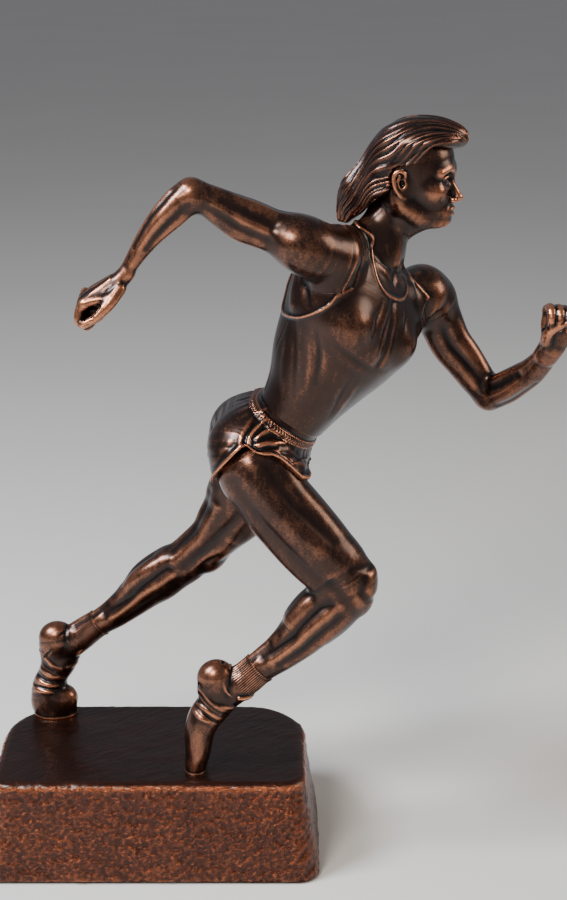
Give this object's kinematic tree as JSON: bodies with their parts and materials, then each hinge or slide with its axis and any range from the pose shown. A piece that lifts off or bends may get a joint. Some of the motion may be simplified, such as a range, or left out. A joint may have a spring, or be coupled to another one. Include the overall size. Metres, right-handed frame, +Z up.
{
  "type": "figure trophy",
  "caption": "Sprinter statuette in a full running stride, both toes fixed to a hollow rough-sided plinth with rounded corners and a felt underside.",
  "frame": {"origin": "centre of the felt underside of the plinth, on the surface it stands on", "axes": "+Z up through the plinth, +X the direction the figure runs in, +Y towards the figure's left and the back of the plinth"},
  "size_m": [0.3253, 0.1176, 0.4155],
  "materials": {
    "figure_bronze": "patinated bronze, satin, with rubbed copper highlights",
    "plinth_bronze": "patinated bronze, pebbled sides and brushed top",
    "steel": "bright drawn steel",
    "zinc": "zinc plated",
    "board": "bare fibreboard",
    "felt": "dense wool felt"
  },
  "bodies": {
    "root": {"base_casting": "plinth_bronze", "bottom_board": "board", "felt_pad": "felt", "pelvis_casting": "figure_bronze", "torso_casting": "figure_bronze", "head_casting": "figure_bronze", "right_arm_casting": "figure_bronze", "left_arm_casting": "figure_bronze", "right_leg_casting": "figure_bronze", "left_leg_casting": "figure_bronze", "right_shoe_casting": "figure_bronze", "left_shoe_casting": "figure_bronze", "right_stud": "steel", "left_stud": "steel", "neck_dowel": "steel", "waist_dowels": "steel", "right_shoulder_dowel": "steel", "left_shoulder_dowel": "steel", "right_hip_dowel": "steel", "left_hip_dowel": "steel", "right_ankle_pin": "steel", "left_ankle_pin": "steel", "board_screws": "zinc", "stud_washers": "zinc", "stud_nuts": "zinc"}
  },
  "joints": []
}
